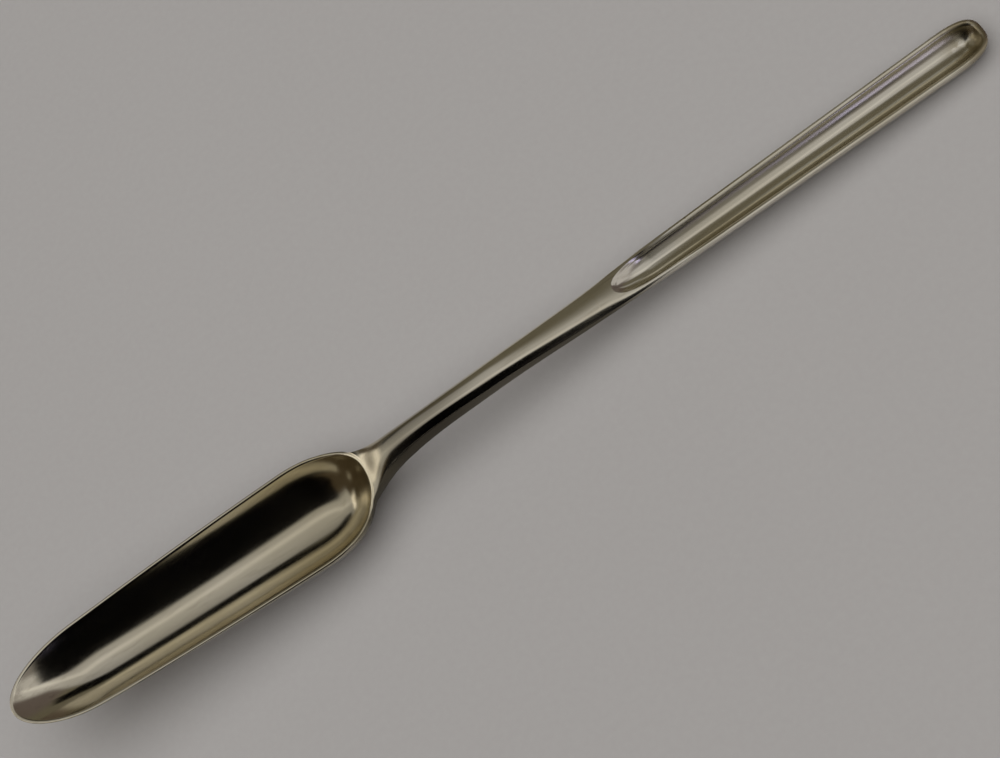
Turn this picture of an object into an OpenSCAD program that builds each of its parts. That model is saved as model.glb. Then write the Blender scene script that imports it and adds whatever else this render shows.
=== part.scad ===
// Marrow scoop in silver: a long deep bowl, a slender shank and a narrow channel, hard-soldered together.
// It is drawn along +X with the bowl's rim level, then laid down on its two rest points, hollows up.

/* [Large scoop] */
// Length of the bowl from its tip to its heel
bowl_len = 86.2; // [70:0.1:105]
// Width that the bowl's sides have at the tip, before the tip rounds in
bowl_tip_w = 16.9; // [13:0.1:20]
// Width that the bowl's sides reach at the heel, before the heel rounds in
bowl_heel_w = 23.2; // [18:0.1:28]
// Length over which the tip rounds in
tip_round = 18; // [12:0.5:26]
// Length over which the heel rounds in
heel_round = 17.2; // [12:0.1:24]
// Depth of the bowl's back below its rim, at the heel end
bowl_depth = 8.4; // [6.5:0.1:12]
// Depth of the bowl's back below its rim, at the tip end of its floor
bowl_tip_depth = 5.6; // [4.5:0.1:8]
// Length of the slope from the tip down to the floor
tip_run = 16; // [10:0.5:24]
// Length of the slope from the heel down to the floor
heel_run = 11; // [8:0.5:16]
// Thickness of the bowl's floor
bowl_wall = 1; // [0.7:0.1:1.6]
// Width of the bowl's rim
bowl_rim = 0.7; // [0.5:0.1:1.4]
// Rise of the rim at the tip
tip_rise = 1.1; // [0:0.1:3]
// Rise of the rim at the heel, towards the shank
heel_rise = 2.6; // [0:0.1:4]

/* [Shank] */
// Length of the shank from the bowl's heel to the middle of the scarf
shank_len = 53; // [45:0.5:75]
// Width of the saddle where it meets the bowl's rim
saddle_w = 11.4; // [9:0.1:13]
// Depth of the saddle down the bowl's heel
saddle_depth = 7.4; // [5.5:0.1:8.5]
// Distance of the throat from the bowl's heel
throat_at = 7.3; // [6:0.1:10]
// Width of the throat
throat_w = 6.4; // [5:0.1:7]
// Height of the throat
throat_h = 6.3; // [5:0.1:7]
// Height of the throat's top above the bowl's rim
throat_top = 6.3; // [4:0.1:7]
// Distance of the waist from the bowl's heel
waist_at = 30; // [22:0.5:36]
// Width of the waist
waist_w = 5.7; // [4.5:0.1:7]
// Height of the waist
waist_h = 4.7; // [4:0.1:6]
// Height of the waist's top above the bowl's rim
waist_top = 8; // [6:0.1:10]
// Width of the shank at the scarf
joint_w = 6.8; // [5.5:0.1:8]
// Height of the shank at the scarf
joint_h = 3.5; // [2.6:0.1:4.5]
// Height of the shank's top above the bowl's rim, at the scarf
joint_top = 8; // [6:0.1:10]

/* [Narrow scoop] */
// Length of the narrow scoop from the middle of the scarf to its end
narrow_len = 88.8; // [75:0.5:110]
// Distance of the channel's pointed start from the middle of the scarf
root_at = 5.2; // [4.5:0.1:8]
// Distance from the middle of the scarf to where the channel is full
full_at = 14; // [11:0.5:20]
// Width of the narrow scoop where the channel is full
full_w = 7.7; // [6.5:0.1:9]
// Height of the narrow scoop where the channel is full
full_h = 3.5; // [3:0.1:5]
// Height of the narrow scoop's rim above the bowl's rim, where the channel is full
full_top = 8.3; // [6:0.1:10]
// Width of the narrow scoop at its end, before the end rounds in
end_w = 9.3; // [8:0.1:11]
// Height of the narrow scoop at its end
end_h = 4.2; // [3.4:0.1:5.5]
// Height of the narrow scoop's rim above the bowl's rim, at its end
end_top = 13; // [10:0.1:15]
// Length over which the end rounds in
end_round = 9.2; // [5:0.1:14]
// Thickness of the channel's floor
narrow_wall = 1.3; // [0.8:0.1:1.8]
// Width of the channel's rim
narrow_rim = 0.8; // [0.5:0.1:1.2]

/* [Joints] */
// Thickness of the solder films
solder = 0.15; // [0.1:0.05:0.3]
// Slope of the scarf, as length along the shank for each height
scarf = 1.2; // [0.5:0.1:1.6]

/* [Finish] */
// Height by which a rim rounds down to its outer edge
rim_drop = 0.35; // [0.1:0.05:0.6]

/* [Hidden] */

silver = "#c9c2b4";
solder_grey = "#aaa69c";

// Fullness of the roundings: 2 is an ellipse, and more is squarer
tip_power = 2.1;
heel_power = 2.2;
end_power = 3;
root_power = 2;
bar_power = 2.4;

// Lean of the hollows' walls at the rim, in degrees from the vertical
heel_lean = 22;
tip_lean = 46;
channel_lean = 28;
root_lean = 50;
end_lean = 30;

// Lean of the bowl's back at the rim, where it stands steeper than the hollow
heel_back_lean = 5;
tip_back_lean = 24;

// Lengths over which the rim rises at the bowl's two ends, and over which the scarf's slant fades
tip_rise_run = 25;
heel_rise_run = 9;
scarf_run = 9;

// Slope of the rim at the heel, which the top of the shank runs on from
rim_slope = 2 * heel_rise / heel_rise_run;

// Length over which the bowl's wall stands up, from its lean at the tip to its lean at the heel
lean_run = 80;

// Share of the edge's drop that the rim's crest has
crest_drop = 0.25;

// Share of the shank's height that lies above its widest line, at the scarf
joint_crown = 0.4;

// The fillet at the saddle: share of the saddle by which it runs on along the heel before it leaves, and
// shares of the way to the throat by which it leads out there, at the sides and at the top
gather = 0.3;
side_lead = 0.2;
top_lead = 0.5;

// Share of the rim's slope that the fillet's top loses towards its two corners
corner_fall = 0.9;

// Rows of the narrow scoop's rim, as shares of its width, and how late the rim turns down to its edge
rim_rows = [0.35, 0.7];
edge_power = 6;

// Slopes from the channel's start and end down to its floor
root_run = 9;
end_run = 3.4;

// Stations along the shank and the narrow scoop
throat_x = bowl_len + throat_at;
waist_x = bowl_len + waist_at;
joint_x = bowl_len + shank_len;
root_x = joint_x + root_at;
full_x = joint_x + full_at;
end_x = joint_x + narrow_len;
end_inner_x = end_x - narrow_rim;

heel_bottom = rim_z(bowl_len) - saddle_depth;

// Each list gives [place, size] at the stations
widths = [
    [bowl_len, saddle_w],
    [throat_x, throat_w],
    [waist_x, waist_w],
    [joint_x, joint_w],
    [full_x, full_w],
    [end_x, end_w]
];
tops = [
    [bowl_len, rim_z(bowl_len)],
    [throat_x, throat_top],
    [waist_x, waist_top],
    [joint_x, joint_top],
    [full_x, full_top],
    [end_x, end_top]
];
bottoms = [
    [bowl_len, heel_bottom],
    [throat_x, throat_top - throat_h],
    [waist_x, waist_top - waist_h],
    [joint_x, joint_top - joint_h],
    [full_x, full_top - full_h],
    [end_x, end_top - end_h]
];
// Height of the top above the widest line of the section
crowns = [
    [bowl_len, saddle_depth / 2],
    [throat_x, throat_h / 2],
    [waist_x, waist_h / 2],
    [joint_x, joint_h * joint_crown],
    [full_x, rim_drop],
    [end_x, rim_drop]
];

// Counts of facets
rim_steps = 36;
neck_steps = 4;
wall_steps = 6;
floor_steps = 6;
blend_steps = 8;
bar_steps = 14;
narrow_steps = 36;
cap_steps = 8;
channel_steps = 8;

// Turn by which the rim's direction is measured, in degrees
rim_nudge = 0.4;

// Search for the rest: its steepest pitch, in degrees, and its number of halvings
most_pitch = 30;
halvings = 40;

function ease(t) = t * t * (3 - 2 * t);
function clip(t) = min(max(t, 0), 1);
function mix(a, b, t) = a + (b - a) * t;
function steps(from, to, count) = [for (i = [0 : count]) mix(from, to, i / count)];
function signed_pow(v, power) = sign(v) * pow(abs(v), power);

// Share of the full width at a distance from an end that rounds in
function rounding(d, run, power) =
    d >= run ? 1 : pow(1 - pow(1 - max(d, 0) / run, power), 1 / power);

// Slope of a station list at one station, from its neighbours
function slope(list, i) =
    let (a = list[max(i - 1, 0)], b = list[min(i + 1, len(list) - 1)])
    (b[1] - a[1]) / (b[0] - a[0]);

function station_before(list, x, i = 0) =
    i >= len(list) - 2 || x < list[i + 1][0] ? i : station_before(list, x, i + 1);

// Smooth curve through the stations
function along(list, x) =
    let (
        i = station_before(list, x),
        a = list[i],
        b = list[i + 1],
        run = b[0] - a[0],
        t = (x - a[0]) / run
    )
    mix(a[1], b[1], ease(t))
    + run * t * (1 - t) * ((1 - t) * slope(list, i) - t * slope(list, i + 1));

// Arc from a rim, at s = 0, to a floor, at s = 1, as [share of the reach, share of the depth]
function wall_arc(s, lean) =
    let (turn = mix(lean, 90, s))
    [cos(turn) / cos(lean), (sin(turn) - sin(lean)) / (1 - sin(lean))];

function bar_arc(s) = [pow(cos(90 * s), 2 / bar_power), pow(sin(90 * s), 2 / bar_power)];

// Share of a hollow's keel that a turn round its rim looks in to
function keel_share(turn) = ease((1 - cos(turn)) / 2);

// The bowl: turn runs round the rim in degrees, from the tip at 0 to the heel at 180
function rim_z(x) =
    tip_rise * pow(max(1 - x / tip_rise_run, 0), 2)
    + heel_rise * pow(max(1 - (bowl_len - x) / heel_rise_run, 0), 2);

function bowl_half(x) =
    mix(bowl_tip_w, bowl_heel_w, 1 - pow(1 - x / bowl_len, 2)) / 2
    * rounding(x, tip_round, tip_power)
    * rounding(bowl_len - x, heel_round, heel_power);

function bowl_plan(turn) =
    let (x = bowl_len * (1 - cos(turn)) / 2)
    [x, sign(sin(turn)) * bowl_half(x)];

function bowl_offset(turn, out) =
    let (along_rim = bowl_plan(turn + rim_nudge) - bowl_plan(turn - rim_nudge))
    bowl_plan(turn) + out * [-along_rim.y, along_rim.x] / norm(along_rim);

// Places at which the floor's keel starts and ends
keel_start = tip_run;
keel_end = bowl_len - heel_run;

// Height of the bowl's back along its middle
function bowl_back_z(x) =
    let (to_tip = max(keel_end - x, 0) / (keel_end - keel_start))
    -mix(bowl_depth, bowl_tip_depth, pow(to_tip, 2));

function bowl_skin(turn, s, out, lower, drop, at_tip, at_heel) =
    let (
        rim = bowl_offset(turn, out),
        lean = mix(at_tip, at_heel, ease(clip(bowl_plan(turn).x / lean_run))),
        arc = wall_arc(s, lean),
        x = mix(mix(keel_start, keel_end, keel_share(turn)), rim.x, arc[0])
    )
    [x, rim.y * arc[0], mix(rim_z(rim.x) - drop, bowl_back_z(x) - lower, arc[1])];

function bowl_inner(turn, s) = bowl_skin(turn, s, -bowl_rim, -bowl_wall, 0, tip_lean, heel_lean);

// The rim's outer edge rises level with its crest where the saddle runs on from it
function edge_drop(turn) = rim_drop * ease(clip(abs(turn - 180) / saddle_turn - 1));

function bowl_outer(turn, s, grow) =
    bowl_skin(turn, s, grow, grow, edge_drop(turn), tip_back_lean, heel_back_lean);

function bowl_rim_crest(turn) =
    let (p = bowl_offset(turn, -bowl_rim / 2))
    [p.x, p.y, rim_z(p.x) - edge_drop(turn) * crest_drop];

// Turn and wall share at which the saddle has its width and its depth
saddle_share = 1 - pow(1 - pow(saddle_w / bowl_heel_w, heel_power), 1 / heel_power);
saddle_turn = acos(1 - 2 * heel_round * saddle_share / bowl_len);
saddle_sine = mix(sin(heel_back_lean), 1, saddle_depth / (bowl_depth + heel_rise));
saddle_wall = (asin(saddle_sine) - heel_back_lean) / (90 - heel_back_lean);

rim_turns = [
    for (i = [0 : rim_steps]) mix(0, 180 - saddle_turn, i / rim_steps),
    for (i = [1 : 2 * neck_steps]) 180 + saddle_turn * (i / neck_steps - 1),
    for (i = [1 : rim_steps - 1]) mix(180 + saddle_turn, 360, i / rim_steps)
];
wall_shares = concat(
    steps(0, saddle_wall, wall_steps),
    [for (i = [1 : floor_steps - 1]) mix(saddle_wall, 1, i / floor_steps)]
);

// The shank's section at a place, as a ring that starts at the top of its +Y side
function bar_height(x, angle) =
    let (
        top = along(tops, x),
        widest = top - along(crowns, x),
        rise = sin(angle) > 0 ? top - widest : widest - along(bottoms, x)
    )
    widest + rise * signed_pow(sin(angle), 2 / bar_power);

function slant(x, z) =
    let (middle = joint_top - joint_h / 2)
    scarf * (z - middle) * pow(max(1 - pow((x - joint_x) / scarf_run, 2), 0), 2);

function slanted(p) = [p.x + slant(p.x, p.z), p.y, p.z];

function bar_plain(x, angle) =
    [x, along(widths, x) / 2 * signed_pow(cos(angle), 2 / bar_power), bar_height(x, angle)];

function bar_point(x, angle) = slanted(bar_plain(x, angle));

// Corners of the ring, in degrees up from +Y, that meet the saddle's four corners
top_corner = 40;
low_corner = 50;
ring_angles = [
    for (i = [0 : 2 * neck_steps - 1]) mix(top_corner, 180 - top_corner, i / (2 * neck_steps)),
    for (i = [0 : wall_steps - 1]) mix(180 - top_corner, 180 + low_corner, i / wall_steps),
    for (i = [0 : 2 * neck_steps - 1]) mix(180 + low_corner, 360 - low_corner, i / (2 * neck_steps)),
    for (i = [0 : wall_steps - 1]) mix(360 - low_corner, 360 + top_corner, i / wall_steps)
];

// The same ring on the bowl's heel, as [turn, wall share]
neck_turns = steps(180 - saddle_turn, 180 + saddle_turn, 2 * neck_steps);
neck_walls = steps(0, saddle_wall, wall_steps);
saddle_ring = [
    for (i = [0 : 2 * neck_steps - 1]) [neck_turns[i], 0],
    for (j = [0 : wall_steps - 1]) [180 + saddle_turn, neck_walls[j]],
    for (i = [0 : 2 * neck_steps - 1]) [neck_turns[2 * neck_steps - i], saddle_wall],
    for (j = [0 : wall_steps - 1]) [180 - saddle_turn, neck_walls[wall_steps - j]]
];

function cubic(a, b, c, d, t) =
    pow(1 - t, 3) * a + 3 * pow(1 - t, 2) * t * b + 3 * (1 - t) * t * t * c + pow(t, 3) * d;

// Fillet from the bowl's heel to the throat: it leaves along the heel and arrives along the shank
function neck_point(k, t) =
    let (
        angle = ring_angles[k],
        turn = saddle_ring[k][0],
        wall = saddle_ring[k][1],
        start = bowl_outer(turn, wall, solder),
        end = bar_point(throat_x, angle),
        ahead = bar_point(throat_x + 1, angle) - end,
        arrive = end - ahead * throat_at / 2,
        lead = mix(side_lead, top_lead, clip(sin(angle))) * (arrive.x - start.x),
        fall = corner_fall * pow((turn - 180) / saddle_turn, 2),
        climb = rim_slope * (1 - fall) * (1 - wall / saddle_wall),
        leave = bowl_outer(mix(turn, 180, gather), wall * (1 - gather), solder) + lead * [1, 0, climb]
    )
    cubic(start, leave, arrive, end, t);

// The narrow scoop: its sides run from the scarf to the end and back, and a cap closes the scarf
narrow_x = joint_x + solder / 2;

function end_share(x) = rounding(end_x - x, end_round, end_power);

function outer_edge(i) =
    let (
        turn = 180 * i / narrow_steps,
        x = mix(narrow_x, end_x, (1 - cos(turn)) / 2),
        side = i == 0 ? 1 : i == 2 * narrow_steps ? -1 : sign(sin(turn))
    )
    [x, side * along(widths, x) / 2 * end_share(x), along(tops, x) - along(crowns, x)];

function cap_edge(k) = bar_plain(narrow_x, 180 - 180 * k / cap_steps);

// Share of the way from the middle of the top to its outline
function top_share(x, y) =
    let (
        across = abs(y) / (along(widths, x) / 2),
        to_end = max(1 - (end_x - x) / end_round, 0)
    )
    min(pow(pow(across, end_power) + pow(to_end, end_power), 1 / end_power), 1);

function top_height(x, y) =
    along(tops, x) - along(crowns, x) * (1 - pow(1 - pow(top_share(x, y), bar_power), 1 / bar_power));

// The channel's rim line: turn is 0 at its pointed start and 180 at its end
function channel_plan(turn) =
    let (x = mix(root_x, end_inner_x, (1 - cos(turn)) / 2))
    [
        x,
        sign(sin(turn)) * (along(widths, x) / 2 - narrow_rim)
        * rounding(x - root_x, full_at - root_at, root_power)
        * rounding(end_inner_x - x, end_round - narrow_rim, end_power)
    ];

function channel_skin(turn, s) =
    let (
        rim = channel_plan(turn),
        to_root = ease(clip((rim.x - root_x) / root_run)),
        to_end = ease(clip((end_inner_x - rim.x) / end_round)),
        lean = mix(root_lean, channel_lean, to_root) + mix(end_lean - channel_lean, 0, to_end),
        arc = wall_arc(s, lean),
        keel_x = mix(root_x + root_run, end_inner_x - end_run, keel_share(turn)),
        x = mix(keel_x, rim.x, arc[0])
    )
    [x, rim.y * arc[0], mix(top_height(rim.x, rim.y), along(bottoms, x) + narrow_wall, arc[1])];

// Part of the rim line that faces the scarf's cap
cap_turn = 24;
narrow_columns = 2 * narrow_steps + cap_steps;

function channel_turn(i) =
    i <= 2 * narrow_steps
    ? mix(cap_turn, 360 - cap_turn, i / (2 * narrow_steps))
    : mix(360 - cap_turn, 360 + cap_turn, (i - 2 * narrow_steps) / cap_steps);

function narrow_edge(i) = i <= 2 * narrow_steps ? outer_edge(i) : cap_edge(i - 2 * narrow_steps);

function narrow_top(i, share) =
    let (
        outer = narrow_edge(i),
        p = mix(channel_skin(channel_turn(i), 0), outer, share)
    )
    slanted([p.x, p.y, mix(top_height(p.x, p.y), outer.z, pow(share, edge_power))]);

function narrow_outer(i, s) =
    let (
        edge = narrow_edge(i),
        share = i <= 2 * narrow_steps ? (1 - cos(180 * i / narrow_steps)) / 2 : 0,
        arc = bar_arc(s),
        x = mix(mix(narrow_x, end_x - end_run, share), edge.x, arc[0])
    )
    slanted([x, edge.y * arc[0], mix(edge.z, along(bottoms, x), arc[1])]);

// The rest: the pitch at which the bowl's back and the narrow scoop's back touch the table together
bowl_back = [
    for (s = wall_shares) bowl_outer(180, s, 0),
    for (turn = rim_turns) bowl_outer(turn, 1, 0)
];
narrow_back = [
    for (s = steps(0, 1, channel_steps)) narrow_outer(narrow_steps, s),
    for (i = [0 : narrow_steps]) narrow_outer(i, 1)
];

function lowest(points, pitch) = min([for (p = points) p.z * cos(pitch) - p.x * sin(pitch)]);

function find_pitch(low, high, tries) =
    let (middle = (low + high) / 2)
    tries == 0 ? middle
    : lowest(bowl_back, middle) < lowest(narrow_back, middle)
    ? find_pitch(middle, high, tries - 1)
    : find_pitch(low, middle, tries - 1);

pitch = find_pitch(0, most_pitch, halvings);
lift = -lowest(bowl_back, pitch);

function laid_x(p) = p.x * cos(pitch) + p.z * sin(pitch);
centre_x = (laid_x(bowl_outer(0, 0, 0)) + laid_x(outer_edge(narrow_steps))) / 2;

module laid() {
    translate([-centre_x, 0, lift]) rotate([0, pitch, 0]) children();
}

// Faces between neighbouring rings of points: from and to give the points' numbers in the two rings
function strip(from, to) =
    let (count = len(from))
    [
        for (i = [0 : count - 1])
        let (a = from[i], b = from[(i + 1) % count], c = to[(i + 1) % count], d = to[i])
        each concat(
            a != b && b != c ? [[a, c, b]] : [],
            a != d && c != d ? [[a, d, c]] : []
        )
    ];

function ring_numbers(ring, count) = [for (i = [0 : count - 1]) ring * count + i];

// A shell from rings of equal count, closed along a keel line at each end
module shell(rings, first_keel, last_keel, keel_numbers) {
    count = len(rings[0]);
    points = concat([for (ring = rings) each ring], first_keel, last_keel);
    first = len(rings) * count;
    last = first + len(first_keel);
    faces = concat(
        strip([for (n = keel_numbers[0]) first + n], ring_numbers(0, count)),
        [for (r = [0 : len(rings) - 2]) each strip(ring_numbers(r, count), ring_numbers(r + 1, count))],
        strip(ring_numbers(len(rings) - 1, count), [for (n = keel_numbers[1]) last + n])
    );
    polyhedron(points, faces);
}

module large_scoop() {
    count = len(rim_turns);
    half = count / 2;
    fold = [for (i = [0 : count - 1]) min(i, count - i)];
    last = len(wall_shares) - 1;
    rings = concat(
        [for (j = [0 : last]) [for (turn = rim_turns) bowl_inner(turn, wall_shares[last - j])]],
        [[for (turn = rim_turns) bowl_rim_crest(turn)]],
        [for (s = wall_shares) [for (turn = rim_turns) bowl_outer(turn, s, 0)]]
    );
    color(silver) laid() shell(
        rings,
        [for (i = [0 : half]) bowl_inner(rim_turns[i], 1)],
        [for (i = [0 : half]) bowl_outer(rim_turns[i], 1, 0)],
        [fold, fold]
    );
}

// A patch of the bowl's heel as rows of point numbers, closed by a ring of the same outline
function patch_faces(rows, columns) = [
    for (j = [0 : rows - 1])
    for (i = [0 : columns - 1])
    let (a = j * (columns + 1) + i, b = a + columns + 1)
    each [[a, a + 1, b + 1], [a, b + 1, b]]
];

// Numbers of a patch's outline, in the order of the saddle ring
function patch_outline(rows, columns) = [
    for (i = [0 : columns - 1]) i,
    for (j = [0 : rows - 1]) j * (columns + 1) + columns,
    for (i = [0 : columns - 1]) rows * (columns + 1) + columns - i,
    for (j = [0 : rows - 1]) (rows - j) * (columns + 1)
];

function heel_patch(grow) = [
    for (s = neck_walls)
    for (turn = neck_turns)
    bowl_outer(turn, s, grow)
];

function flipped(faces) = [for (f = faces) [f[2], f[1], f[0]]];
function shifted(list, by) = [for (n = list) n + by];

module shank() {
    columns = 2 * neck_steps;
    patch = heel_patch(solder);
    outline = patch_outline(wall_steps, columns);
    count = len(ring_angles);
    rings = concat(
        [for (t = steps(1 / blend_steps, 1, blend_steps - 1)) [for (k = [0 : count - 1]) neck_point(k, t)]],
        [
            for (i = [1 : bar_steps])
            [for (angle = ring_angles) bar_point(mix(throat_x, joint_x - solder / 2, i / bar_steps), angle)]
        ]
    );
    base = len(patch);
    final = ring_numbers(len(rings) - 1, count);
    faces = concat(
        patch_faces(wall_steps, columns),
        strip(outline, shifted(ring_numbers(0, count), base)),
        [
            for (r = [0 : len(rings) - 2])
            each strip(shifted(ring_numbers(r, count), base), shifted(ring_numbers(r + 1, count), base))
        ],
        [for (i = [1 : count - 2]) shifted([final[0], final[i + 1], final[i]], base)]
    );
    color(silver) laid() polyhedron(concat(patch, [for (ring = rings) each ring]), faces);
}

module narrow_scoop() {
    columns = [0 : narrow_columns - 1];
    sides = 2 * narrow_steps;
    shares = steps(0, 1, channel_steps);
    last = channel_steps - 1;
    side_fold = [for (i = [0 : sides]) min(i, sides - i)];
    cap_numbers = [1 : cap_steps - 1];
    channel_fold = concat(side_fold, [for (k = cap_numbers) sides + min(k, cap_steps - k)]);
    outer_fold = concat(side_fold, [for (k = cap_numbers) 0]);
    rings = concat(
        [for (j = [0 : last]) [for (i = columns) slanted(channel_skin(channel_turn(i), shares[last - j]))]],
        [for (share = rim_rows) [for (i = columns) narrow_top(i, share)]],
        [for (j = [0 : last]) [for (i = columns) narrow_outer(i, shares[j])]]
    );
    color(silver) laid() shell(
        rings,
        [for (i = columns) slanted(channel_skin(channel_turn(i), 1))],
        [for (i = columns) narrow_outer(i, 1)],
        [channel_fold, outer_fold]
    );
}

module heel_solder() {
    columns = 2 * neck_steps;
    faces = patch_faces(wall_steps, columns);
    outline = patch_outline(wall_steps, columns);
    points = heel_patch(0);
    base = len(points);
    color(solder_grey) laid() polyhedron(
        concat(points, heel_patch(solder)),
        concat(
            faces,
            [for (f = flipped(faces)) shifted(f, base)],
            strip(outline, shifted(outline, base))
        )
    );
}

module scarf_solder() {
    count = len(ring_angles);
    points = [
        for (x = [joint_x - solder / 2, narrow_x])
        for (angle = ring_angles)
        bar_point(x, angle)
    ];
    cap = [for (i = [1 : count - 2]) [0, i, i + 1]];
    color(solder_grey) laid() polyhedron(
        points,
        concat(
            cap,
            strip(ring_numbers(0, count), ring_numbers(1, count)),
            [for (f = flipped(cap)) shifted(f, count)]
        )
    );
}

large_scoop();
shank();
narrow_scoop();
heel_solder();
scarf_solder();
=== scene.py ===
import math

import bmesh
import bpy
import numpy as np
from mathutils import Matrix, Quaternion, Vector


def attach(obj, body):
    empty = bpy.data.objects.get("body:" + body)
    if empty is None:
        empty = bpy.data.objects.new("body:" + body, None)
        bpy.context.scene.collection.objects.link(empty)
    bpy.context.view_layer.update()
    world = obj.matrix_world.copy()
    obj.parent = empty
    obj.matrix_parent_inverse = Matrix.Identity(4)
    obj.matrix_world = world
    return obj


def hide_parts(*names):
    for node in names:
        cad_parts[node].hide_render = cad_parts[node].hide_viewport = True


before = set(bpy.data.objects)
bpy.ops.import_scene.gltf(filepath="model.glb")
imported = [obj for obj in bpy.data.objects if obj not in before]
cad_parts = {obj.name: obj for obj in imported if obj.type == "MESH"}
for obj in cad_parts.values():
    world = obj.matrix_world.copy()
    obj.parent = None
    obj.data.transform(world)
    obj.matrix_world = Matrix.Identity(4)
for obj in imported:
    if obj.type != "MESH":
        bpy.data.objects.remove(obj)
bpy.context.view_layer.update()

# The shapes are drawn in millimetres along +X with the bowl's rim level, then laid down on the table.
MM = 0.001
BODY = "root"

# Large scoop
BOWL_LEN = 86.2
BOWL_TIP_W = 16.9
BOWL_HEEL_W = 23.2
TIP_ROUND = 18
HEEL_ROUND = 17.2
BOWL_DEPTH = 8.4
BOWL_TIP_DEPTH = 5.6
TIP_RUN = 16
HEEL_RUN = 11
BOWL_WALL = 1
BOWL_RIM = 0.7
TIP_RISE = 1.1
HEEL_RISE = 2.6
TIP_RISE_RUN = 25
HEEL_RISE_RUN = 9
TIP_POWER = 2.1
HEEL_POWER = 2.2
HEEL_LEAN = math.radians(22)
TIP_LEAN = math.radians(46)
HEEL_BACK_LEAN = math.radians(5)
TIP_BACK_LEAN = math.radians(24)
LEAN_RUN = 80
KEEL_START = TIP_RUN
KEEL_END = BOWL_LEN - HEEL_RUN

# Shank
SHANK_LEN = 53
SADDLE_W = 11.4
SADDLE_DEPTH = 7.4
THROAT_AT = 7.3
THROAT_W = 6.4
THROAT_H = 6.3
THROAT_TOP = 6.3
WAIST_AT = 30
WAIST_W = 5.7
WAIST_H = 4.7
WAIST_TOP = 8
JOINT_W = 6.8
JOINT_H = 3.5
JOINT_TOP = 8
JOINT_CROWN = 0.4
BAR_POWER = 2.4
GATHER = 0.3
SIDE_LEAD = 0.2
TOP_LEAD = 0.5
CORNER_FALL = 0.9
RIM_SLOPE = 2 * HEEL_RISE / HEEL_RISE_RUN
TOP_CORNER = math.radians(40)
LOW_CORNER = math.radians(50)

# Narrow scoop
NARROW_LEN = 88.8
ROOT_AT = 5.2
FULL_AT = 14
FULL_W = 7.7
FULL_H = 3.5
FULL_TOP = 8.3
END_W = 9.3
END_H = 4.2
END_TOP = 13
END_ROUND = 9.2
NARROW_WALL = 1.3
NARROW_RIM = 0.8
END_POWER = 3
ROOT_POWER = 2
ROOT_LEAN = math.radians(50)
END_LEAN = math.radians(30)
CHANNEL_LEAN = math.radians(28)
ROOT_RUN = 9
END_RUN = 3.4
CAP_TURN = math.radians(24)
LEAD_RUN = 30
EDGE_POWER = 6
EDGE_ROUND = 0.45
EDGE_WALL = 0.1
EDGE_DROP = 0.16

# Joints and rims
SOLDER = 0.15
SCARF = 1.2
SCARF_RUN = 9
RIM_DROP = 0.35
RIM_SHARE = 0.02
RIM_PULL = 4 / 3
RIM_NUDGE = math.radians(0.4)

# Stations along the shank and the narrow scoop
THROAT_X = BOWL_LEN + THROAT_AT
WAIST_X = BOWL_LEN + WAIST_AT
JOINT_X = BOWL_LEN + SHANK_LEN
ROOT_X = JOINT_X + ROOT_AT
FULL_X = JOINT_X + FULL_AT
END_X = JOINT_X + NARROW_LEN
END_INNER_X = END_X - NARROW_RIM
NARROW_X = JOINT_X + SOLDER / 2

# Counts of facets
RIM_COLUMNS = 600
WALL_ROWS = 60
RIM_ROWS = 10
NECK_STEPS = 14
SADDLE_STEPS = 20
NECK_ROWS = 40
BAR_ROWS = 90
NARROW_STEPS = 170
CAP_STEPS = 24
CHANNEL_ROWS = 30
EDGE_ROWS = 8
TOP_ROWS = 20
SKIN_ROWS = 24

# Meshes, in metres: what is merged, what is dropped, and the sharpest edge that is shaded smooth
MERGE = 1e-7
SLIVER = 1e-8
SMOOTH_ANGLE = math.radians(30)

# Camera, fitted to the photograph's frame of 1000 by 758 pixels
CAMERA_AZIMUTH = math.radians(21.734)
CAMERA_ELEVATION = math.radians(59.77)
CAMERA_ROLL = math.radians(-55.814)
CAMERA_AIM = Vector((1.634, 3.555, 0)) * MM
CAMERA_DISTANCE = 407.78 * MM
CAMERA_LENS = 75
CAMERA_CLIP = 10 * MM

# Studio, in metres
FLOOR_HALF = 4
KEY_PLACE = Vector((-0.05, -0.05, 1.1))
KEY_SIZE = 2.4
KEY_WATTS = 24

# The room's colours by direction: each fades in from one part of a direction to the other
ROOM_TINT = (0.115, 0.103, 0.075, 1)
DUSK_TINT = (0.11, 0.09, 0.083, 1)
DUSK_X = (0.2, 0.4)
SKY_TINT = (0.2, 0.18, 0.175, 1)
SKY_X = (0.05, 0.2)
SKY_Y = (0.25, -0.15)
BROWN_TINT = (0.06, 0.045, 0.027, 1)
BROWN_X = (-0.25, -0.5)

# The softbox over the table: its near edge spreads and its far edge draws in towards +X
BOX_Z = 0.4
BOX_X = (-0.6, 0.36)
BOX_Y = (-0.5, 1.5)
BOX_NEAR = -0.085
BOX_SPREAD = -5
BOX_NEAREST = -0.3
BOX_FAR = 0.275
BOX_DRAW = -1.72
BOX_NARROWEST = 0.11
BOX_SOFT = 0.07
BOX_TINT = (1, 0.97, 0.94, 1)
BOX_LEVEL = 0.4
BOX_DIM = 0.14
BOX_DIM_Y = (0.1, 0.45)
BOX_LIFT = 0.07
BOX_LIFT_X = (0.02, 0.1)
BOX_END_X = (BOX_X[1], BOX_X[1] / 2)
TUBE_Y = 0.02
TUBE_SLOPE = -0.42
TUBE_HALF = 0.06
TUBE_GLOW = 0.2

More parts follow.
